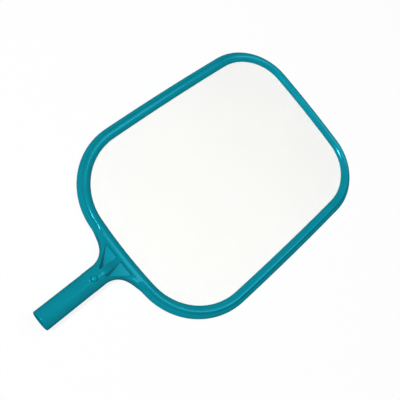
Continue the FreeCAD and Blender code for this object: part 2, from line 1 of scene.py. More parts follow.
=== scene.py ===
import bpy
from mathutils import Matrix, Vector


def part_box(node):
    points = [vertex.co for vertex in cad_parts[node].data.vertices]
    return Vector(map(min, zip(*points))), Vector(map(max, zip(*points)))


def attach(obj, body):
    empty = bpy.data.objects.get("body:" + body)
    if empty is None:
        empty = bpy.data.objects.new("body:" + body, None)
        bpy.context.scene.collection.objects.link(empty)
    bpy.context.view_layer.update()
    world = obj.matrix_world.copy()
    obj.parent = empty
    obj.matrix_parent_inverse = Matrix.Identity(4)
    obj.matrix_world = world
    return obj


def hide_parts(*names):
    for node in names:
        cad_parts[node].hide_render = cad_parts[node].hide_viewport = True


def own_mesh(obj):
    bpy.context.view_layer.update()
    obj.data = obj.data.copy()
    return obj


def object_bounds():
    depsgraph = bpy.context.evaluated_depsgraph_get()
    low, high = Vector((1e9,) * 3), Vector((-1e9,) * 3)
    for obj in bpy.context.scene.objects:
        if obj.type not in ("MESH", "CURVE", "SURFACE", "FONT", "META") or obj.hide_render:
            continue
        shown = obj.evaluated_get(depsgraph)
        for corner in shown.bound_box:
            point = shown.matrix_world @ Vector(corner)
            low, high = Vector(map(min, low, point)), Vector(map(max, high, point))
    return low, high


bl_info = {
    "name": "Leaf skimmer net",
    "version": (1, 0, 0),
    "blender": (4, 5, 0),
    "location": "3D View > Sidebar > Skimmer",
    "description": "Shapes and finishes of a flat leaf skimmer net",
    "category": "Object",
}

import math

import bmesh
import bpy
from bpy.props import FloatProperty, FloatVectorProperty, PointerProperty
from mathutils import Matrix, Vector
from mathutils.geometry import intersect_sphere_sphere_2d

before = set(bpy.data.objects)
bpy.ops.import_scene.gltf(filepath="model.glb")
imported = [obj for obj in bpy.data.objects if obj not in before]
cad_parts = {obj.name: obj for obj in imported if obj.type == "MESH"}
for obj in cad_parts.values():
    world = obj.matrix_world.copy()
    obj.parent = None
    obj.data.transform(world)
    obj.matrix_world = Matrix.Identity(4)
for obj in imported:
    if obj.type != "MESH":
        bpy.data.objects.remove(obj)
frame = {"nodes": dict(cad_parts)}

MM = 0.001
UP = Vector((0, 0, 1))
NET_LOW, NET_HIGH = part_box("net_mesh")
OBJECT_LOW, OBJECT_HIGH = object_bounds()

# The ends of a line that runs round the whole hoop meet within this distance, and are joined.
JOIN = 0.1 * MM
# Places that are nearer than this are the same place.
WELD = 0.002 * MM
# Places that are nearer than this to a plane or a line are on it.
NEAR = 0.01 * MM
# Edges that turn more than this are shaded sharp.
SHARP = math.radians(38)
# The least number of steps in which an arc is spun.
LEAST_STEPS = 5
# Distance of the end of the spring's arms at its bend from the origin.
CLIP_END = 244 * MM
# Roughness of the moulded pieces.
FRAME_GLOSS, RING_GLOSS, BUTTON_GLOSS = 0.14, 0.3, 0.18


def number(name, default, description, **more):
    return FloatProperty(name=name, default=default, description=description, **more)


def length(name, millimetres, description):
    return number(name, millimetres * MM, description, unit="LENGTH", precision=5)


def share(name, default, description):
    return number(name, default, description, min=0, max=1, subtype="FACTOR")


def degrees(name, default, description):
    return number(name, math.radians(default), description, subtype="ANGLE")


def colour(name, default, description):
    return FloatVectorProperty(name=name, default=default, description=description, size=3, subtype="COLOR")


class OpeningSizes(bpy.types.PropertyGroup):
    """The line of the opening's edge, which the hoop, the ring, the hem and the cord all follow."""

    far_side: length("Far side", 1740, "Radius of the side away from the handle")
    near_side: length("Near side", 742, "Radius of the side by the handle")
    long_side: length("Long sides", 4740, "Radius of the two long sides")
    far_corner: length("Far corners", 67, "Radius of the corners at the far side")
    near_corner: length("Near corners", 86, "Radius of the corners by the handle")
    widest: length("Widest place", -16, "Y of the opening's widest place")
    tuck: length("Net tuck", 6.4, "How far the net reaches past the opening's edge")
    stride: length("Stride", 2.6, "Longest step of a sweep round the hoop")


class HoopSizes(bpy.types.PropertyGroup):
    """The hoop's section: a domed inner face, a rolled crest, a small step and a rounded outer band."""

    width: length("Width", 18, "Where the hoop's outer side stands")
    lip: length("Lip", 0.2, "Where the inner lip's edge stands, out from the opening's line")
    low: length("Underside", 0.6, "Z of the outer wall's lower edge")
    draft: length("Wall draft", 1.6, "How far the outer wall leans in towards its foot")
    crest: length("Crest", 16, "Z of the highest line round the hoop")
    crest_inner: length("Crest, inner", 9.1, "Where the domed face ends and the crest rolls over")
    crest_outer: length("Crest, outer", 10.9, "Where the step outside the crest starts")
    crest_drop: length("Crest drop", 0.95, "How far the crest has rolled down there")
    crest_round: length("Crest rounding", 2.2, "Radius of the crest")
    step_foot: length("Step foot", 12.1, "Foot of the step outside the crest")
    step_height: length("Step height", 12.5, "Z of the step's foot")
    step_round: length("Step rounding", 3, "Hollow at the step's foot")
    band_start: length("Band start", 13, "Where the outer band starts")
    band_height: length("Band height", 11.6, "Z of the band's start")
    band_round: length("Band rounding", 11, "Radius of the outer band")
    band_foot: length("Band foot", 6.9, "Z where the band turns into the outer wall")
    edge_round: length("Edge rounding", 1, "Rounding under the outer wall")
    lip_low: length("Lip underside", 10.2, "Z of the inner lip's underside, on the net")
    lip_turn: length("Lip turn", 10.8, "Z where the inner wall turns into the domed face")
    dome: length("Dome", 10.6, "Radius of the domed face between the opening and the crest")
    wall: length("Channel, inner side", 2.4, "Where the channel's wall beside the inner lip stands")
    inside: length("Channel width", 15.6, "Where the channel's outer side stands")
    roof_side: length("Channel side", 8, "Z of the channel's side wall")
    roof_bevel: length("Channel bevel", 13.4, "Where the channel's ceiling levels out")
    roof_low: length("Channel ceiling", 10.6, "Z of the ceiling over the screws")
    roof_step: length("Channel step", 10.5, "Where the ceiling steps up to the crest")
    roof_high: length("Channel roof", 13.4, "Z of the ceiling under the crest")
    roof_out: length("Channel roof, outer", 9.2, "Outer end of that ceiling")
    roof_in: length("Channel roof, inner", 6.6, "Inner end of that ceiling")
    roof_lip: length("Channel lip", 11.8, "Z of the ceiling beside the inner lip")


class HandleSizes(bpy.types.PropertyGroup):
    """The yoke's pockets, the handle stub and its two snap buttons."""

    axis: length("Axis height", 18.4, "Z of the handle's axis")
    radius: length("Radius", 14.25, "Outside radius of the stub")
    bore: length("Bore", 11.5, "Inside radius of the stub")
    bore_end: length("Bore end", 174, "Distance of the bore's blind end from the origin")
    collar: length("Collar", 14.5, "Radius of the collar that takes up the pole's play")
    collar_start: length("Collar start", 190, "Distance of the collar's outer end from the origin")
    mouth: length("Mouth rounding", 1.4, "Lead-in at the handle's mouth")
    pocket_floor: length("Pocket floor", 15, "Z of the pockets' floors")
    pocket_front: length("Pocket front", 140.5, "Distance of a pocket's front corners from the origin")
    pocket_apex: length("Pocket tip", 168.2, "Distance of a pocket's tip from the origin")
    pocket_wide: length("Pocket width", 24.2, "Outer front corner of a pocket")
    pocket_inner: length("Pocket inner corner", 5.2, "Inner front corner of a pocket")
    pocket_tip: length("Pocket tip, sideways", 6.4, "A pocket's tip, from the middle")
    pocket_round: length("Pocket rounding", 1.5, "Rounding of a pocket's corners")
    recess_front: length("Recess front", 143.5, "Front edge of a recess under the yoke")
    recess_apex: length("Recess tip", 156, "Tip of a recess under the yoke")
    recess_wide: length("Recess width", 16.5, "Outer front corner of a recess")
    recess_top: length("Recess ceiling", 10.5, "Z of the recesses' ceilings")
    hole: length("Button hole", 4.1, "Radius of a button's hole")
    button_place: length("Button place", 184, "Distance of the buttons from the origin")


class NetSizes(bpy.types.PropertyGroup):
    """The net's cloth, and the hem and the cord that hold its edge."""

    pitch: length("Thread spacing", 1, "From thread to thread")
    thread: share("Thread share", 0.66, "A thread's width as a share of that spacing")
    sag: length("Sag", 1.2, "How far the middle of the net hangs below its edge")
    cloth: length("Thickness", 0.5, "Thickness of the cloth")


class Colours(bpy.types.PropertyGroup):
    """The object's colours, as linear values."""

    frame: colour("Frame", (0.0, 0.225, 0.295), "Teal of the moulded frame")
    ring: colour("Ring", (0.0, 0.21, 0.275), "Teal of the back ring")
    net: colour("Net", (0.985, 0.985, 0.96), "White of the net")
    hem: colour("Hem", (0.8, 0.81, 0.79), "White of the hem's tape")
    cord: colour("Cord", (0.82, 0.82, 0.78), "White of the piping cord")
    steel: colour("Steel", (0.62, 0.62, 0.61), "Grey of the spring and the screws")
    button: colour("Button", (0.0, 0.25, 0.32), "Teal of the snap buttons")


class StageSettings(bpy.types.PropertyGroup):
    """The camera and the light."""

    tilt: degrees("Tilt", 25.18, "From straight down")
    roll: degrees("Roll", 38.53, "Turn of the picture")
    lens: number("Lens", 54, "Focal length in millimetres on a 36 mm sensor")
    place: FloatVectorProperty(
        name="Camera",
        default=(0.00548, -0.35235, 0.77539),
        subtype="TRANSLATION",
        description="Where the camera is",
    )
    key: number("Key lamp", 0.76, "Share of a level face's light from the main lamp")
    back: number("Back lamp", 0.2, "Share of it from the lamp on the far side")
    sky: number("Sky", 0.11, "Share of it from all round")
    floor_reach: length("Floor", 6000, "Half the side of the floor")


def settings(name):
    return getattr(bpy.context.scene, f"skimmer_{name}")


class Value:
    """A socket in a material, so that sums on it read as Python and add their own nodes."""

    def __init__(self, finish, socket):
        self.finish = finish
        self.socket = socket

    def maths(self, operation, *terms):
        return self.finish.node("ShaderNodeMath", {"operation": operation}, dict(enumerate(terms)))

    def __add__(self, other):
        return self.maths("ADD", self, other)

    def __mul__(self, other):
        return self.maths("MULTIPLY", self, other)

    def __sub__(self, other):
        return self.maths("SUBTRACT", self, other)

    def __rsub__(self, other):
        return self.maths("SUBTRACT", other, self)

    def __truediv__(self, other):
        return self.maths("DIVIDE", self, other)

    def __pow__(self, other):
        return self.maths("POWER", self, other)

    __radd__ = __add__
    __rmul__ = __mul__

    def fraction(self):
        return self.maths("FRACT", self)

    def floor(self):
        return self.maths("FLOOR", self)

    def size(self):
        return self.maths("ABSOLUTE", self)

    def cosine(self):
        return self.maths("COSINE", self)

    def larger(self, other):
        return self.maths("MAXIMUM", self, other)

    def smaller(self, other):
        return self.maths("MINIMUM", self, other)

    def between(self, low, high, out_low=0.0, out_high=1.0):
        """A smooth change from out_low to out_high as the value goes from low to high."""
        inputs = {"Value": self, "From Min": low, "From Max": high, "To Min": out_low, "To Max": out_high}
        return self.finish.node("ShaderNodeMapRange", {"interpolation_type": "SMOOTHSTEP"}, inputs)


class Finish:
    """A material that is built up node by node."""

    def __init__(self, name):
        self.material = bpy.data.materials.new(name)
        self.material.use_nodes = True
        self.tree = self.material.node_tree
        self.tree.nodes.clear()

    def node(self, kind, choices=None, inputs=None, output=0):
        made = self.tree.nodes.new(kind)
        for key, choice in (choices or {}).items():
            setattr(made, key, choice)
        for key, given in (inputs or {}).items():
            if isinstance(given, Value):
                self.tree.links.new(given.socket, made.inputs[key])
            else:
                made.inputs[key].default_value = given
        return Value(self, made.outputs[output])

    def place(self):
        return self.node("ShaderNodeTexCoord", output="Object")

    def noise(self, place, scale, detail=2.0, roughness=0.5):
        inputs = {"Vector": place, "Scale": scale, "Detail": detail, "Roughness": roughness}
        return self.node("ShaderNodeTexNoise", {}, inputs)

    def stretched(self, place, scale, turn=(0, 0, 0)):
        return self.node("ShaderNodeMapping", {}, {"Vector": place, "Scale": scale, "Rotation": turn})

    def mix(self, factor, first, second):
        inputs = {"Factor": factor, 6: first, 7: second}
        return self.node("ShaderNodeMix", {"data_type": "RGBA"}, inputs, output=2)

    def bump(self, height, distance):
        return self.node("ShaderNodeBump", {}, {"Height": height, "Distance": distance})

    def surface(self, **inputs):
        named = {key.replace("_", " "): given for key, given in inputs.items()}
        shader = self.node("ShaderNodeBsdfPrincipled", {}, named)
        self.tree.links.new(shader.socket, self.output())

    def output(self):
        return self.tree.nodes.new("ShaderNodeOutputMaterial").inputs["Surface"]


def rgba(shade, strength=1.0):
    return (shade[0] * strength, shade[1] * strength, shade[2] * strength, 1.0)


def moulded_plastic(name, shade, gloss):
    """Glossy injection-moulded plastic: faint flow marks, a fine grain and a few hairline scratches."""
    finish = Finish(name)
    place = finish.place()
    flow = finish.noise(finish.stretched(place, (1, 2.2, 1)), 22, 3.0, 0.55).between(0.3, 0.7)
    grain = finish.noise(place, 1500)
    ripple = finish.noise(place, 90, 1.5)
    hairs = []
    for scale, turn, start in (((1500, 22, 300), 0.6, 0.69), ((26, 1700, 300), 0.35, 0.7)):
        lines = finish.noise(finish.stretched(place, scale, (0, 0, turn)), 1, 1.0)
        hairs.append(lines.between(start, start + 0.07))
    scratches = hairs[0].larger(hairs[1])
    base = finish.mix(flow, rgba(shade, 0.96), rgba(shade, 1.04))
    base = finish.mix(scratches * 0.06, base, rgba((0.1, 0.5, 0.6)))
    height = grain * 0.1 + ripple * 0.4 - scratches * 0.1
    finish.surface(
        Base_Color=base,
        Roughness=gloss + flow * 0.04 + scratches * 0.08 + grain * 0.04,
        Metallic=0.15,
        Specular_IOR_Level=0.0,
        Specular_Tint=(0.0, 0.35, 0.4, 1.0),
        Coat_Weight=0.015,
        Coat_IOR=3.0,
        Coat_Roughness=gloss * 0.8,
        Normal=finish.bump(height, 0.000012),
    )
    return finish.material


def woven_net(name, shade, sizes):
    """Fine white netting: two sets of round threads that pass over and under each other, open between."""
    finish = Finish(name)
    place = finish.place()
    wander = (finish.noise(place, 34, 1.5) - 0.5) * 0.35
    split = finish.node("ShaderNodeSeparateXYZ", {}, {"Vector": place})
    across = Value(finish, split.socket.node.outputs["X"]) / sizes.pitch + wander
    along = Value(finish, split.socket.node.outputs["Y"]) / sizes.pitch + wander
    half = sizes.thread / 2
    warp_way = (across.fraction() - 0.5).size()
    weft_way = (along.fraction() - 0.5).size()
    warp = warp_way.between(half * 0.82, half * 1.12, 1.0, 0.0)
    weft = weft_way.between(half * 0.82, half * 1.12, 1.0, 0.0)
    cover = warp.larger(weft)
    wave = ((across.floor() + along - 0.5) * math.pi).cosine()
    cross_wave = ((along.floor() + across + 0.5) * math.pi).cosine()
    warp_height = warp * (1 - (warp_way / half).smaller(1.0) ** 2) * (0.7 + wave * 0.3)
    weft_height = weft * (1 - (weft_way / half).smaller(1.0) ** 2) * (0.7 + cross_wave * 0.3)
    height = warp_height.larger(weft_height)
    tone = finish.noise(place, 9).between(0.3, 0.7)
    base = finish.mix(tone, rgba(shade, 0.985), rgba(shade, 1.0))
    # Painted shade: the threads' low places, at their sides and where one passes under the other, are
    # painted a little darker
    base = finish.mix(height.between(0.0, 0.5), finish.mix(0.5, base, rgba(shade, 0.92)), base)
    finish.surface(
        Base_Color=base,
        Roughness=0.5 + tone * 0.1,
        Alpha=cover,
        Normal=finish.bump(height, sizes.pitch * 0.12),
        IOR=1.5,
    )
    return finish.material


def woven_tape(name, shade):
    """Polyester tape: a tight twill with a fine fuzz."""
    finish = Finish(name)
    place = finish.place()
    twill = finish.node(
        "ShaderNodeTexWave",
        {"wave_type": "BANDS", "bands_direction": "DIAGONAL"},
        {"Vector": place, "Scale": 420.0, "Distortion": 1.5, "Detail": 1.0},
        output="Fac",
    )
    fuzz = finish.noise(place, 1300)
    base = finish.mix(twill, rgba(shade, 0.8), rgba(shade, 1.0))
    finish.surface(
        Base_Color=base,
        Roughness=0.75 + fuzz * 0.12,
        Normal=finish.bump(twill * 0.7 + fuzz * 0.3, 0.00015),
    )
    return finish.material


def brushed_steel(name, shade, grain_way, roughness):
    """Rolled or turned steel: fine lines along one way, a few darker stains."""
    finish = Finish(name)
    place = finish.place()
    lines = finish.noise(finish.stretched(place, grain_way), 1, 3.0, 0.6)
    stain = finish.noise(place, 190).between(0.55, 0.75)
    base = finish.mix(lines.between(0.3, 0.7), rgba(shade, 0.86), rgba(shade, 1.05))
    base = finish.mix(stain * 0.35, base, rgba(shade, 0.6))
    finish.surface(
        Base_Color=base,
        Metallic=1.0,
        Roughness=roughness + lines * 0.12 + stain * 0.15,
        Normal=finish.bump(lines, 0.00002),
    )
    return finish.material


def opening_arcs():
    """The opening's edge as arcs, clockwise from the far side's middle: a centre and a signed angle each."""
    sizes = settings("opening")
    far = Vector((0, far_edge() - sizes.far_side))
    near = Vector((0, NET_LOW.y + sizes.tuck + sizes.near_side))
    side = Vector((NET_HIGH.x - sizes.tuck - sizes.long_side, sizes.widest))
    far_turn = corner_centre(far, sizes.far_side, side, sizes.long_side, sizes.far_corner)
    near_turn = corner_centre(near, sizes.near_side, side, sizes.long_side, sizes.near_corner)
    first, last = Vector((0, 1)), Vector((0, -1))
    ways = [first, far_turn - far, far_turn - side, near_turn - side, near_turn - near, last]
    centres = [far, far_turn, side, near_turn, near]
    right = [(centre, -abs(ways[i].angle_signed(ways[i + 1]))) for i, centre in enumerate(centres)]
    left = [(Vector((-centre.x, centre.y)), angle) for centre, angle in reversed(right)]
    return right + left


def corner_centre(one, one_radius, other, other_radius, corner):
    """The centre of a corner arc that runs into two larger arcs, on the right of the axis."""
    meets = intersect_sphere_sphere_2d(one, one_radius - corner, other, other_radius - corner)
    return max(meets, key=lambda place: place.x)


def far_edge():
    return NET_HIGH.y - settings("opening").tuck


def outline(corners, segment=0.5 * MM, turn_step=math.radians(14)):
    """Points along a closed outline; a corner's third value is the radius of the arc that leaves it."""
    points = []
    for here, there in zip(corners, corners[1:] + corners[:1]):
        start, end = Vector(here[:2]), Vector(there[:2])
        points.append(start)
        if len(here) < 3:
            continue
        radius = abs(here[2])
        chord = end - start
        to_centre = Vector((-chord.y, chord.x)).normalized() * math.copysign(1, here[2])
        centre = (start + end) / 2 + to_centre * math.sqrt(radius**2 - chord.length_squared / 4)
        sweep = 2 * math.asin(chord.length / 2 / radius)
        pieces = max(2, math.ceil(radius * sweep / segment), math.ceil(sweep / turn_step))
        for step in range(1, pieces):
            turn = Matrix.Rotation(math.copysign(sweep, here[2]) * step / pieces, 2)
            points.append(centre + turn @ (start - centre))
    return points


def loop_of(bm, places):
    """A closed loop of new vertices and edges."""
    verts = [bm.verts.new(place) for place in places]
    edges = [bm.edges.new(pair) for pair in zip(verts, verts[1:] + verts[:1])]
    return verts, edges


def spin_along(bm, parts, arcs, stride):
    """Spins a section along one arc after the other, and returns its last place."""
    for centre, angle in arcs:
        steps = max(LEAST_STEPS, math.ceil(abs(angle) * (parts[0].co.xy - centre).length / stride))
        middle = (centre.x, centre.y, 0)
        made = bmesh.ops.spin(bm, geom=parts, cent=middle, axis=UP, angle=angle, steps=steps)
        parts = sorted(made["geom_last"], key=lambda part: isinstance(part, bmesh.types.BMEdge))
    return parts


def sweep_round(section):
    """A solid from a section, in distances out from the opening's edge, spun round the hoop arc by arc."""
    bm = bmesh.new()
    verts, edges = loop_of(bm, [(0, far_edge() + out, height) for out, height in section])
    spin_along(bm, verts + edges, opening_arcs(), settings("opening").stride)
    bmesh.ops.remove_doubles(bm, verts=bm.verts, dist=JOIN)
    bmesh.ops.recalc_face_normals(bm, faces=bm.faces)
    require_closed(bm)
    return bm


def require_closed(bm):
    """Stops the build where a solid has an edge that isn't between two faces."""
    if any(len(edge.link_faces) != 2 for edge in bm.edges):
        raise RuntimeError("a solid isn't closed")


def new_piece(name, bm):
    """A mesh object from a bmesh, shaded smooth but for its sharp edges."""
    mesh = bpy.data.meshes.new(name)
    bm.to_mesh(mesh)
    bm.free()
    piece = bpy.data.objects.new(name, mesh)
    bpy.context.scene.collection.objects.link(piece)
    shade_smooth(piece)
    return piece


def shade_smooth(piece):
    for face in piece.data.polygons:
        face.use_smooth = True
    piece.data.set_sharp_from_angle(angle=SHARP)


def apply_modifiers(piece):
    graph = bpy.context.evaluated_depsgraph_get()
    mesh = bpy.data.meshes.new_from_object(piece.evaluated_get(graph))
    piece.modifiers.clear()
    piece.data = mesh


def combine(piece, tool, operation):
    """Adds the tool to the piece or cuts it away, and removes the tool."""
    modifier = piece.modifiers.new(operation.lower(), "BOOLEAN")
    modifier.operation = operation
    modifier.object = tool
    modifier.solver = "EXACT"
    apply_modifiers(piece)
    bpy.data.objects.remove(tool)


def even_normals(piece):
    """Lets large faces set the shading, so that thin ones beside a cut don't show."""
    modifier = piece.modifiers.new("even_normals", "WEIGHTED_NORMAL")
    modifier.keep_sharp = True
    modifier.weight = 60


def finish_piece(piece, material, body, slot, *nodes):
    piece.data.materials.clear()
    piece.data.materials.append(material)
    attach(piece, body)
    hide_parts(*nodes)


def turned(name, profile, centre, way, steps):
    """A solid of revolution from places (distance along the way, radius); both ends are on the axis."""
    bm = bmesh.new()
    turn = way.to_track_quat("Z", "Y").to_matrix()
    places = [centre + turn @ Vector((radius, 0, along)) for along, radius in profile]
    verts = [bm.verts.new(place) for place in places]
    edges = [bm.edges.new(pair) for pair in zip(verts, verts[1:])]
    geom = verts + edges
    bmesh.ops.spin(bm, geom=geom, cent=centre, axis=way, angle=math.tau, steps=steps, use_merge=True)
    bmesh.ops.remove_doubles(bm, verts=bm.verts, dist=WELD)
    bmesh.ops.recalc_face_normals(bm, faces=bm.faces)
    return new_piece(name, bm)


def prism(name, corners, radius, low, high):
    """An upright solid on a polygon with rounded corners."""
    bm = bmesh.new()
    verts, _ = loop_of(bm, [(x, y, low) for x, y in corners])
    bm.faces.new(verts)
    raised = bmesh.ops.extrude_face_region(bm, geom=bm.faces[:])
    tops = [part for part in raised["geom"] if isinstance(part, bmesh.types.BMVert)]
    bmesh.ops.translate(bm, verts=tops, vec=(0, 0, high - low))
    corner_edges = [edge for edge in bm.edges if (edge.verts[0].co.xy - edge.verts[1].co.xy).length < WELD]
    bmesh.ops.bevel(
        bm,
        geom=corner_edges,
        offset=radius,
        offset_type="WIDTH",
        segments=7,
        profile=0.5,
        affect="EDGES",
        material=-1,
    )
    bmesh.ops.recalc_face_normals(bm, faces=bm.faces)
    return new_piece(name, bm)


def hoop_section():
    """The hoop's outer line; the points along its straight runs are there for the yoke's loops."""
    hoop = settings("hoop")
    foot = hoop.width - hoop.draft
    under, wall_low = foot - hoop.edge_round, hoop.low + hoop.edge_round
    run, rise = under - hoop.crest_inner, hoop.band_foot - hoop.low - hoop.edge_round
    pieces = 6
    bottom = [(hoop.crest_inner + run * step / pieces, hoop.low) for step in range(pieces)]
    wall = [(foot + hoop.draft * step / pieces, wall_low + rise * step / pieces) for step in range(pieces)]
    return outline(
        [
            (hoop.lip, hoop.low),
            *bottom,
            (under, hoop.low, hoop.edge_round),
            *wall,
            (hoop.width, hoop.band_foot, hoop.band_round),
            (hoop.band_start, hoop.band_height, -hoop.step_round),
            (hoop.step_foot, hoop.step_height),
            (hoop.crest_outer, hoop.crest - hoop.crest_drop, hoop.crest_round),
            (hoop.crest_inner, hoop.crest, hoop.dome),
            (hoop.lip, hoop.lip_turn),
        ]
    )


def channel_section():
    """The line that the channel under the hoop is cut with; it runs 1 mm past the hoop where it is open."""
    hoop = settings("hoop")
    return outline(
        [
            (-MM, -MM),
            (hoop.inside, -MM),
            (hoop.inside, hoop.roof_side),
            (hoop.roof_bevel, hoop.roof_low),
            (hoop.roof_step, hoop.roof_low),
            (hoop.roof_out, hoop.roof_high),
            (hoop.roof_in, hoop.roof_high),
            (hoop.wall, hoop.roof_lip),
            (hoop.wall, hoop.lip_low),
            (-MM, hoop.lip_low),
        ]
    )


# The yoke's outer edge from the hoop to the handle, in millimetres: way along the edge, distance from the
# middle, distance from the origin, underside, upper and lower rounding.
YOKE_EDGE = [
    (0, 56.4, 139.9, 0.6, 5, 1),
    (9, 47.4, 140.8, 0.7, 5, 1),
    (18.2, 38.3, 142.4, 0.9, 5, 1.1),
    (30.2, 27.4, 147.2, 1.4, 5.4, 1.8),
    (38.3, 21.4, 152.6, 2, 6.4, 3.4),
    (46.3, 17.4, 159.5, 2.8, 9.4, 7.4),
    (53.1, 15.4, 166, 3.3, 12.7, 11.6),
    (59.2, 14.5, 172, 3.9, 14.5, 14.5),
    (65.2, 14.5, 178, 3.9, 14.5, 14.5),
]

# The yoke's top face, in millimetres: distance from the origin, height over the hoop's crest.
YOKE_RISE = [
    (133.1, 0),
    (135, 0.12),
    (138, 0.8),
    (142, 2.1),
    (147, 4.5),
    (152.6, 7.8),
    (159.5, 12.2),
    (166, 15.5),
    (172, 16.9),
    (178, 16.9),
]

# Ways along the yoke's edge, in millimetres: from loop to loop, to each side for its direction, over which
# the hoop's section turns into the yoke's, and over which the bulge of the hoop's near side fades out.
YOKE_STRIDE, YOKE_PROBE, YOKE_BLEND, YOKE_FADE = 1.05, 0.1, 20, 35


def at_station(stations, place):
    """The numbers of a row of stations at that place, by a smooth curve that doesn't swing past them."""
    place = min(max(place, stations[0][0]), stations[-1][0])
    count = len(stations)
    index = max(i for i in range(count - 1) if stations[i][0] <= place)
    rows = [stations[min(max(i, 0), count - 1)] for i in range(index - 1, index + 3)]
    gap = rows[2][0] - rows[1][0]
    way = (place - rows[1][0]) / gap
    numbers = []
    for column in range(1, len(rows[0])):
        slopes = []
        for one, other in zip(rows, rows[1:]):
            run = other[0] - one[0]
            slopes.append((other[column] - one[column]) / run if run else None)
        lean_in, lean_out = even_slope(slopes[0], slopes[1]) * gap, even_slope(slopes[2], slopes[1]) * gap
        start, end = rows[1][column], rows[2][column]
        bend = way * way * (3 - 2 * way)
        ease = way * (1 - way)
        numbers.append(start + (end - start) * bend + ease * ((1 - way) * lean_in - way * lean_out))
    return numbers


def even_slope(outer, inner):
    """The slope at a station between two slopes, level where they turn round."""
    if outer is None:
        return inner
    return 2 * outer * inner / (outer + inner) if outer * inner > 0 else 0


def smooth_step(value):
    value = min(max(value, 0), 1)
    return value * value * (3 - 2 * value)


def drop(radius, depth):
    """How far a rounded edge has fallen at that depth inside its side."""
    short = max(radius - depth, 0)
    return radius - math.sqrt(max(radius * radius - short * short, 0))


def yoke_side(depth, top, upper, low, lower):
    """The yoke's side from its top face to its underside: places as depth inside the edge and height."""
    line = [(depth, top - drop(upper, depth))]
    steps = 24
    for radius, level, way in ((upper, top, -1), (lower, low, 1)):
        start = math.asin(max(0, 1 - depth / radius))
        arc = []
        for step in range(steps + 1):
            turn = start + (math.pi / 2 - start) * step / steps
            arc.append((radius * (1 - math.sin(turn)), level + way * radius * (1 - math.cos(turn))))
        line += arc if way < 0 else arc[::-1]
    line.append((depth, low + drop(lower, depth)))
    return line


def lengths_along(line):
    """How far along the line each of its places is."""
    lengths = [0]
    for (x, y), (other_x, other_y) in zip(line, line[1:]):
        lengths.append(lengths[-1] + math.hypot(other_x - x, other_y - y))
    return lengths


def spread(line, shares):
    """Places on the line at those shares of its length."""
    lengths = lengths_along(line)
    places, index = [], 0
    for share_of_line in shares:
        wanted = share_of_line * lengths[-1]
        while index < len(line) - 2 and lengths[index + 1] < wanted:
            index += 1
        gap = lengths[index + 1] - lengths[index]
        way = (wanted - lengths[index]) / gap if gap else 0
        (x, y), (other_x, other_y) = line[index], line[index + 1]
        places.append((x + (other_x - x) * way, y + (other_y - y) * way))
    return places


def yoke_loops(chain, centre):
    """Loops from the hoop's near side to the neck, each from the top's middle round to the underside's."""
    hoop = settings("hoop")
    near_side = settings("opening").near_side
    out = [((vert.co.xy - centre).length - near_side) / MM for vert in chain]
    depth = (hoop.width - hoop.crest_inner) / MM
    crest = hoop.crest / MM
    rim = (hoop.crest_inner + NEAR) / MM
    top = [vert for vert, far in zip(chain, out) if far < rim and vert.co.z > hoop.crest / 2]
    across = [vert.co.x / top[-1].co.x for vert in top]
    side = [(hoop.width / MM - far, vert.co.z / MM) for vert, far in zip(chain, out)]
    side = side[len(top) - 1 : len(chain) - len(top) + 1]
    lengths = lengths_along(side)
    shares = [reached / lengths[-1] for reached in lengths]
    bulge = (top[-1].co.y - top[0].co.y) / MM
    start = (top[-1].co.xy - centre).normalized() * (near_side + hoop.width) + centre
    stations = [(0, start.x / MM, -start.y / MM, *YOKE_EDGE[0][3:]), *YOKE_EDGE[1:]]
    loops = []
    last = stations[-1][0]
    steps = round(last / YOKE_STRIDE)
    for step in range(1, steps + 1):
        way = last * step / steps
        x, away, low, upper, lower = at_station(stations, way)
        ahead, behind = at_station(stations, way + YOKE_PROBE), at_station(stations, way - YOKE_PROBE)
        heading = Vector((ahead[0] - behind[0], behind[1] - ahead[1])).normalized()
        inwards = Vector((heading.y, -heading.x))
        edge = Vector((x, -away))
        turn = edge + inwards * depth
        blend = smooth_step(way / YOKE_BLEND)
        swell = bulge * (1 - smooth_step(way / YOKE_FADE))
        level = crest + at_station(YOKE_RISE, away)[0]
        flat = []
        for share_across in across:
            y = turn.y - swell * (1 - share_across**2)
            flat.append((turn.x * share_across, y, depth + turn.x * (1 - share_across)))
        loop = []
        for x, y, inside in flat:
            loop.append(Vector((x, y, crest + at_station(YOKE_RISE, -y)[0] - drop(upper, inside))))
        profile = spread(yoke_side(depth, level, upper, low, lower), shares)
        for (plain_in, plain_height), (inside, height) in list(zip(side, profile))[1:-1]:
            inside = plain_in + (inside - plain_in) * blend
            place = edge + inwards * inside
            sink = (at_station(YOKE_RISE, -place.y)[0] - level + crest) * (height - low) / (level - low)
            height = plain_height + (height + sink - plain_height) * blend
            loop.append(Vector((place.x, place.y, height)))
        for x, y, inside in reversed(flat):
            loop.append(Vector((x, y, low + drop(lower, inside))))
        loops.append([place * MM for place in loop])
    return loops


def handle_loops(loop):
    """Loops from the neck's round end to the handle's mouth."""
    handle = settings("handle")
    start = -loop[0].y
    collar_end = handle.collar_start - 0.4 * MM
    lead = -OBJECT_LOW.y - handle.mouth
    on_collar, on_stub, on_mouth = 8, 12, 6
    run = collar_end - start
    rings = [(start + run * step / on_collar, handle.collar) for step in range(1, on_collar + 1)]
    run = lead - handle.collar_start
    rings += [(handle.collar_start + run * step / on_stub, handle.radius) for step in range(on_stub + 1)]
    for step in range(1, on_mouth + 1):
        angle = math.pi / 2 * step / on_mouth
        shrink = handle.mouth * (1 - math.cos(angle))
        rings.append((lead + handle.mouth * math.sin(angle), handle.radius - shrink))
    loops = []
    for away, radius in rings:
        size = radius / handle.collar
        ring = [(place.x * size, (place.z - handle.axis) * size) for place in loop]
        loops.append([Vector((x, -away, handle.axis + z)) for x, z in ring])
    return loops


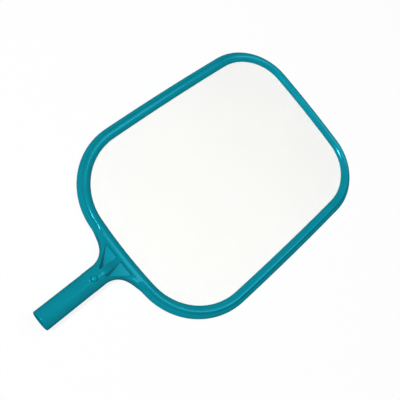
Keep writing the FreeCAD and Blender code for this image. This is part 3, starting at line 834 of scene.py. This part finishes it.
def chain_from(start, edges):
    """The vertices of an open chain of edges, in order."""
    chain, left = [start], set(edges)
    while True:
        step = next((edge for edge in chain[-1].link_edges if edge in left), None)
        if step is None:
            return chain
        left.remove(step)
        chain.append(step.other_vert(chain[-1]))


def draw_out(bm, chain, edges, loops):
    """Extrudes a chain of edges from each loop of places to the next."""
    for places in loops:
        made = bmesh.ops.extrude_edge_only(bm, edges=edges)["geom"]
        fresh = {part for part in made if isinstance(part, bmesh.types.BMVert)}
        beside = [[edge.other_vert(vert) for edge in vert.link_edges] for vert in chain]
        chain = [next(vert for vert in verts if vert in fresh) for verts in beside]
        for vert, place in zip(chain, places):
            vert.co = place
        edges = [part for part in made if isinstance(part, bmesh.types.BMEdge) and set(part.verts) <= fresh]


def join_middle(bm):
    """Puts the places beside the middle plane on it."""
    for vert in bm.verts:
        if abs(vert.co.x) < NEAR:
            vert.co.x = 0


def frame_skin():
    """The moulding's outside: half a hoop is spun, yoke and handle drawn out of it, and all is mirrored."""
    hoop, opening = settings("hoop"), settings("opening")
    bm = bmesh.new()
    verts, edges = loop_of(bm, [(0, far_edge() + out, height) for out, height in hoop_section()])
    arcs = opening_arcs()
    *arcs, near_arc = arcs[: len(arcs) // 2]
    last = spin_along(bm, verts + edges, arcs, opening.stride)
    centre = near_arc[0]
    reach = opening.near_side + hoop.crest_inner + NEAR
    inner = []
    for part in last:
        if all((vert.co.xy - centre).length < reach for vert in getattr(part, "verts", [part])):
            inner.append(part)
    spin_along(bm, inner, [near_arc], opening.stride)
    join_middle(bm)
    edges = [edge for edge in bm.edges if edge.is_boundary and any(vert.co.x for vert in edge.verts)]
    ends = [vert for edge in edges for vert in edge.verts if vert.co.x == 0]
    chain = chain_from(max(ends, key=lambda vert: vert.co.z), edges)
    loops = yoke_loops(chain, centre)
    draw_out(bm, chain, edges, loops + handle_loops(loops[-1]))
    join_middle(bm)
    bmesh.ops.mirror(bm, geom=bm.verts[:] + bm.edges[:] + bm.faces[:], merge_dist=NEAR, axis="X")
    bmesh.ops.remove_doubles(bm, verts=bm.verts, dist=WELD)
    bmesh.ops.holes_fill(bm, edges=[edge for edge in bm.edges if edge.is_boundary], sides=0)
    bmesh.ops.recalc_face_normals(bm, faces=bm.faces)
    require_closed(bm)
    return new_piece("skimmer_frame", bm)


def pocket(name, side, front, apex, wide, low, high):
    """A tool that cuts a pocket on one side of the yoke, from above or from below."""
    handle = settings("handle")
    corners = [
        (handle.pocket_inner * side, -front),
        (handle.pocket_tip * side, -apex),
        (wide * side, -front),
    ]
    return prism(name, grow(corners, handle.pocket_round), handle.pocket_round * 1.6, low, high)


def grow(corners, distance):
    """The polygon's corners with each side moved out by the distance."""
    points = [Vector(corner) for corner in corners]
    corners = list(zip(points[-1:] + points[:-1], points, points[1:] + points[:1]))
    turning = math.copysign(1, sum((here - before).cross(after - here) for before, here, after in corners))
    grown = []
    for before, here, after in corners:
        way_in, way_out = (here - before).normalized(), (after - here).normalized()
        side_in = Vector((way_in.y, -way_in.x)) * turning
        side_out = Vector((way_out.y, -way_out.x)) * turning
        middle = (side_in + side_out).normalized()
        grown.append(here + middle * distance / middle.dot(side_in))
    return grown


def bore_tool(handle):
    """The stub's bore, from its blind end to a flare at the mouth."""
    mouth = -OBJECT_LOW.y
    flare = 0.6 * MM
    bore = [
        (handle.bore_end, 0),
        (handle.bore_end, handle.bore - MM),
        (handle.bore_end + MM, handle.bore),
        (mouth - flare, handle.bore),
        (mouth + flare, handle.bore + 2 * flare),
        (mouth + flare, 0),
    ]
    return turned("bore", bore, Vector((0, 0, handle.axis)), Vector((0, -1, 0)), steps=96)


def button_hole_tool(handle):
    """The hole through both walls of the stub, for the snap buttons."""
    past = 10 * MM
    low, high = -past, OBJECT_HIGH.z + past
    hole = [(low, 0), (low, handle.hole), (high, handle.hole), (high, 0)]
    return turned("button_hole", hole, Vector((0, -handle.button_place, 0)), UP, steps=48)


class BuildFrame(bpy.types.Operator):
    """Makes the teal moulding: hoop, yoke with its two pockets, and handle stub"""

    bl_idname = "skimmer.build_frame"
    bl_label = "Frame"

    def execute(self, context):
        handle = settings("handle")
        high = OBJECT_HIGH.z * 2
        piece = frame_skin()
        tools = [new_piece("channel", sweep_round(channel_section()))]
        for side in (1, -1):
            front, apex, wide = handle.pocket_front, handle.pocket_apex, handle.pocket_wide
            tools.append(pocket("pocket", side, front, apex, wide, handle.pocket_floor, high))
            front, apex, wide = handle.recess_front, handle.recess_apex, handle.recess_wide
            tools.append(pocket("recess", side, front, apex, wide, -high, handle.recess_top))
        tools += [bore_tool(handle), button_hole_tool(handle)]
        for tool in tools:
            combine(piece, tool, "DIFFERENCE")
        shade_smooth(piece)
        even_normals(piece)
        material = moulded_plastic("teal_plastic", settings("colours").frame, FRAME_GLOSS)
        finish_piece(piece, material, "skimmer", "frame_plastic", "main_frame")
        return {"FINISHED"}


def fill_outline(bm):
    """Fills the net's outline with one face, and returns its area."""
    start = bm.verts.new((0, NET_HIGH.y, NET_HIGH.z))
    spin_along(bm, [start], opening_arcs(), 2 * settings("opening").stride)
    bmesh.ops.remove_doubles(bm, verts=bm.verts, dist=JOIN)
    bmesh.ops.contextual_create(bm, geom=bm.edges[:])
    return sum(face.calc_area() for face in bm.faces)


def cut_grid(bm, pitch):
    """Cuts the net into squares, so that it can sag."""
    for axis, normal in enumerate((Vector((1, 0, 0)), Vector((0, 1, 0)))):
        low, high = NET_LOW[axis], NET_HIGH[axis]
        for step in range(1, int((high - low) / pitch)):
            bmesh.ops.bisect_plane(
                bm,
                geom=bm.verts[:] + bm.edges[:] + bm.faces[:],
                plane_co=normal * (low + step * pitch),
                plane_no=normal,
                dist=NEAR,
            )


def hang_net(bm, sizes):
    """Centres the cloth in its node's height, and lets its middle sag."""
    middle, half = (NET_LOW + NET_HIGH) / 2, (NET_HIGH - NET_LOW) / 2
    for vert in bm.verts:
        x = (vert.co.x - middle.x) / half.x
        y = (vert.co.y - middle.y) / half.y
        slack = max(0, 1 - x**4) * max(0, 1 - y**4)
        vert.co.z -= sizes.sag * slack + (NET_HIGH.z - NET_LOW.z - sizes.cloth) / 2


class BuildNet(bpy.types.Operator):
    """Makes the net's cloth, stretched across the hoop"""

    bl_idname = "skimmer.build_net"
    bl_label = "Net"

    def execute(self, context):
        sizes = settings("net")
        bm = bmesh.new()
        area = fill_outline(bm)
        cut_grid(bm, pitch=6 * MM)
        hang_net(bm, sizes)
        for face in bm.faces:
            face.normal_update()
            if face.normal.z < 0:
                face.normal_flip()
        piece = new_piece("net_cloth", bm)
        solidify = piece.modifiers.new("cloth_thickness", "SOLIDIFY")
        solidify.thickness = sizes.cloth
        solidify.offset = -1
        apply_modifiers(piece)
        shade_smooth(piece)
        material = woven_net("white_netting", settings("colours").net, sizes)
        finish_piece(piece, material, "skimmer", "net", "net_mesh")
        return {"FINISHED"}


class BuildHem(bpy.types.Operator):
    """Makes the hem's tape and the piping cord in its fold"""

    bl_idname = "skimmer.build_hem"
    bl_label = "Hem and cord"

    def execute(self, context):
        for name, node, slot, material in (
            ("hem_tape", "net_hem", "hem_tape", woven_tape("white_tape", settings("colours").hem)),
            ("piping_cord", "net_cord", "cord", woven_tape("white_cord", settings("colours").cord)),
        ):
            finish_piece(merged_copy(name, node), material, "skimmer", slot, node)
        return {"FINISHED"}


def merged_copy(name, node):
    """A copy of a node's mesh with its loose triangles joined."""
    bm = bmesh.new()
    bm.from_mesh(frame["nodes"][node].data)
    bmesh.ops.remove_doubles(bm, verts=bm.verts, dist=WELD)
    return new_piece(name, bm)


class BuildRing(bpy.types.Operator):
    """Makes the back ring and its screws"""

    bl_idname = "skimmer.build_ring"
    bl_label = "Back ring"

    def execute(self, context):
        ring = merged_copy("clamp_ring", "back_ring")
        even_normals(ring)
        material = moulded_plastic("teal_ring_plastic", settings("colours").ring, RING_GLOSS)
        finish_piece(ring, material, "skimmer", "ring_plastic", "back_ring")
        screws = merged_copy("screw_set", "ring_screws")
        even_normals(screws)
        material = brushed_steel("screw_steel", settings("colours").steel, (900, 900, 900), 0.22)
        finish_piece(screws, material, "skimmer", "screws", "ring_screws")
        return {"FINISHED"}


class BuildSpring(bpy.types.Operator):
    """Makes the spring strip inside the handle"""

    bl_idname = "skimmer.build_spring"
    bl_label = "Spring"

    def execute(self, context):
        material = brushed_steel("spring_steel", settings("colours").steel, (2600, 60, 900), 0.2)
        bend = merged_copy("spring_bend", "clip_bend")
        finish_piece(bend, material, "skimmer", "spring_steel", "clip_bend")
        anchor = (0, -CLIP_END, settings("handle").axis)
        for side in ("upper", "lower"):
            arm = merged_copy(f"{side}_spring_arm", f"{side}_clip_arm")
            finish_piece(arm, material, "skimmer", "spring_steel", f"{side}_clip_arm")
            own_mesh(arm)
        return {"FINISHED"}


class BuildButtons(bpy.types.Operator):
    """Makes the two snap buttons"""

    bl_idname = "skimmer.build_buttons"
    bl_label = "Snap buttons"

    def execute(self, context):
        material = moulded_plastic("button_plastic", settings("colours").button, BUTTON_GLOSS)
        for side in ("upper", "lower"):
            button = merged_copy(f"{side}_snap_button", f"{side}_button")
            even_normals(button)
            finish_piece(button, material, f"{side}_snap", "button_plastic", f"{side}_button")
        return {"FINISHED"}


class BuildStage(bpy.types.Operator):
    """Makes the floor, the light and the camera"""

    bl_idname = "skimmer.build_stage"
    bl_label = "Stage"

    def execute(self, context):
        stage = settings("stage")
        bm = bmesh.new()
        bmesh.ops.create_grid(bm, x_segments=1, y_segments=1, size=stage.floor_reach)
        bmesh.ops.translate(bm, verts=bm.verts, vec=(0, 0, -0.2 * MM))
        floor = new_piece("floor", bm)
        floor.data.materials.append(pale_floor())
        lamp("key_lamp", Vector((-0.21, -0.42, 0.88)), distance=4, size=0.45, share_of_light=stage.key)
        lamp("back_lamp", Vector((0.16, 0.35, 0.92)), distance=1.9, size=0.8, share_of_light=stage.back)
        context.scene.world = white_sky(stage.sky)
        camera = bpy.data.objects.new("camera", bpy.data.cameras.new("camera"))
        camera.data.lens = stage.lens
        camera.data.sensor_width = 36
        camera.data.clip_end = 100
        camera.matrix_world = camera_matrix(stage)
        context.scene.collection.objects.link(camera)
        context.scene.camera = camera
        context.scene.view_settings.view_transform = "Standard"
        return {"FINISHED"}


def white_where_seen(tree, plain, seen, output):
    """The camera, glossy faces and clear faces see one shader, and everything else gets the other."""
    nodes, links = tree.nodes, tree.links
    rays = nodes.new("ShaderNodeLightPath")
    either, *others = [rays.outputs[f"Is {kind} Ray"] for kind in ("Camera", "Glossy", "Transmission")]
    for other in others:
        larger = nodes.new("ShaderNodeMath")
        larger.operation = "MAXIMUM"
        links.new(either, larger.inputs[0])
        links.new(other, larger.inputs[1])
        either = larger.outputs[0]
    mixed = nodes.new("ShaderNodeMixShader")
    links.new(either, mixed.inputs[0])
    links.new(plain, mixed.inputs[1])
    links.new(seen, mixed.inputs[2])
    links.new(mixed.outputs[0], output)


def white_sky(strength):
    sky = bpy.data.worlds.new("even_sky")
    sky.use_nodes = True
    nodes = sky.node_tree.nodes
    plain = nodes["Background"]
    plain.inputs["Color"].default_value = (1, 1, 1, 1)
    plain.inputs["Strength"].default_value = strength
    seen = nodes.new("ShaderNodeBackground")
    seen.inputs["Color"].default_value = (1, 1, 1, 1)
    seen.inputs["Strength"].default_value = 1.0
    output = nodes["World Output"].inputs["Surface"]
    white_where_seen(sky.node_tree, plain.outputs[0], seen.outputs[0], output)
    return sky


def pale_floor():
    """White where it is seen, but for a part of the shadow that falls on it."""
    finish = Finish("pale_floor")
    bounce, shade, glow_share = 0.75, 0.9, 0.86
    matte = finish.node("ShaderNodeBsdfDiffuse", {}, {"Color": rgba((bounce, bounce, bounce))})
    shadowed = finish.node("ShaderNodeBsdfDiffuse", {}, {"Color": rgba((shade, shade, shade))})
    glow = finish.node("ShaderNodeEmission", {}, {"Color": (1, 1, 1, 1), "Strength": 1.0})
    seen = finish.node("ShaderNodeMixShader", {}, {0: glow_share, 1: shadowed, 2: glow})
    white_where_seen(finish.tree, matte.socket, seen.socket, finish.output())
    return finish.material


def lamp(name, way, distance, size, share_of_light):
    """A soft square lamp whose power gives a level face that share of a full white light."""
    way = way.normalized()
    data = bpy.data.lights.new(name, "AREA")
    data.size = size
    data.energy = (math.pi * distance) ** 2 * share_of_light / way.z
    made = bpy.data.objects.new(name, data)
    target = (OBJECT_LOW + OBJECT_HIGH) / 2
    turn = way.to_track_quat("Z", "Y").to_matrix().to_4x4()
    made.matrix_world = Matrix.Translation(target + way * distance) @ turn
    bpy.context.scene.collection.objects.link(made)


def camera_matrix(stage):
    tilt, roll = stage.tilt, stage.roll
    along = Vector((0, math.cos(tilt), math.sin(tilt)))
    across = Vector((1, 0, 0))
    right = along * math.cos(roll) + across * math.sin(roll)
    top = along * math.sin(roll) - across * math.cos(roll)
    back = Vector((0, -math.sin(tilt), math.cos(tilt)))
    turn = Matrix((right, top, back)).transposed().to_4x4()
    return Matrix.Translation(stage.place) @ turn


class SkimmerPanel(bpy.types.Panel):
    """Lists the steps in order"""

    bl_idname = "VIEW3D_PT_skimmer"
    bl_label = "Leaf skimmer net"
    bl_space_type = "VIEW_3D"
    bl_region_type = "UI"
    bl_category = "Skimmer"

    def draw(self, context):
        for operator in STEPS:
            self.layout.operator(operator.bl_idname)


GROUPS = {
    "opening": OpeningSizes,
    "hoop": HoopSizes,
    "handle": HandleSizes,
    "net": NetSizes,
    "colours": Colours,
    "stage": StageSettings,
}
STEPS = [BuildFrame, BuildRing, BuildHem, BuildNet, BuildSpring, BuildButtons, BuildStage]


def register():
    for name, group in GROUPS.items():
        bpy.utils.register_class(group)
        setattr(bpy.types.Scene, f"skimmer_{name}", PointerProperty(type=group))
    for step in STEPS:
        bpy.utils.register_class(step)
    bpy.utils.register_class(SkimmerPanel)


def unregister():
    bpy.utils.unregister_class(SkimmerPanel)
    for step in reversed(STEPS):
        bpy.utils.unregister_class(step)
    for name, group in GROUPS.items():
        delattr(bpy.types.Scene, f"skimmer_{name}")
        bpy.utils.unregister_class(group)


def main():
    register()
    for step in STEPS:
        family, action = step.bl_idname.split(".")
        getattr(getattr(bpy.ops, family), action)()


if __name__ == "__main__":
    main()
